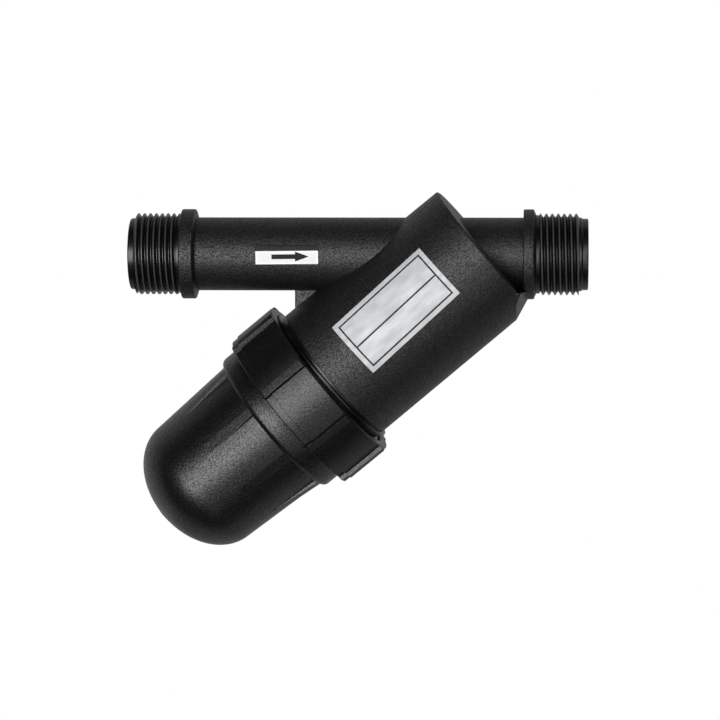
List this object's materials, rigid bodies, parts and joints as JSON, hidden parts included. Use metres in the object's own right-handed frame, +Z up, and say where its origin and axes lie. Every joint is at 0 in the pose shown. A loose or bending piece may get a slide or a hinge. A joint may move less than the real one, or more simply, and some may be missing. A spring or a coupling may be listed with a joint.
{
  "type": "y-type disc filter",
  "caption": "Inline Y disc filter for an irrigation pipe: slanted barrel with a screw cap holding a stack of grooved filter discs.",
  "frame": {"origin": "centre of the inlet's end face, on the run pipe's axis", "axes": "+X along the run pipe with the flow, +Z up, away from the slanted barrel, and +Y away from the label side; the barrel slants down towards -X in the XZ plane"},
  "size_m": [0.1876, 0.0742, 0.1459],
  "materials": {
    "black_polypropylene": "fine spark-eroded grain, semi-matte",
    "cap_polypropylene": "satin",
    "cartridge_polypropylene": "as moulded",
    "disc_polypropylene": "finely grooved",
    "seal_rubber": "matte",
    "silver_foil": "lightly brushed foil film",
    "white_film": "printed film"
  },
  "bodies": {
    "housing": {"housing": "black_polypropylene", "seat_seal": "seal_rubber", "cartridge_spine": "cartridge_polypropylene", "clamp_plate": "cartridge_polypropylene", "clamp_nut": "cartridge_polypropylene", "filter_disc_01": "disc_polypropylene", "filter_disc_02": "disc_polypropylene", "filter_disc_03": "disc_polypropylene", "filter_disc_04": "disc_polypropylene", "filter_disc_05": "disc_polypropylene", "filter_disc_06": "disc_polypropylene", "filter_disc_07": "disc_polypropylene", "filter_disc_08": "disc_polypropylene", "filter_disc_09": "disc_polypropylene", "filter_disc_10": "disc_polypropylene", "filter_disc_11": "disc_polypropylene", "filter_disc_12": "disc_polypropylene", "filter_disc_13": "disc_polypropylene", "filter_disc_14": "disc_polypropylene", "filter_disc_15": "disc_polypropylene", "filter_disc_16": "disc_polypropylene", "filter_disc_17": "disc_polypropylene", "filter_disc_18": "disc_polypropylene", "filter_disc_19": "disc_polypropylene", "filter_disc_20": "disc_polypropylene", "filter_disc_21": "disc_polypropylene", "filter_disc_22": "disc_polypropylene", "filter_disc_23": "disc_polypropylene", "filter_disc_24": "disc_polypropylene", "filter_disc_25": "disc_polypropylene", "filter_disc_26": "disc_polypropylene", "filter_disc_27": "disc_polypropylene", "filter_disc_28": "disc_polypropylene", "filter_disc_29": "disc_polypropylene", "filter_disc_30": "disc_polypropylene", "filter_disc_31": "disc_polypropylene", "filter_disc_32": "disc_polypropylene", "filter_disc_33": "disc_polypropylene", "filter_disc_34": "disc_polypropylene", "filter_disc_35": "disc_polypropylene", "filter_disc_36": "disc_polypropylene", "rating_label": "silver_foil", "flow_arrow_label": "white_film"},
    "seal_ring": {"cap_seal": "seal_rubber"},
    "screw_cap": {"screw_cap": "cap_polypropylene"}
  },
  "joints": [
    {"name": "cap_travel", "type": "slide", "parent": "housing", "child": "seal_ring", "axis": [-0.7694, 0, -0.6388], "range_m": [0, 0.016]},
    {"name": "cap_turn", "type": "hinge", "parent": "seal_ring", "child": "screw_cap", "pos_m": [0.1429, 0, 0], "axis": [-0.7694, 0, -0.6388], "range_deg": [0, 1440]}
  ],
  "couplings": [
    {"joint": "cap_travel", "follows": "cap_turn", "m_per_rad": 0.00063662}
  ]
}
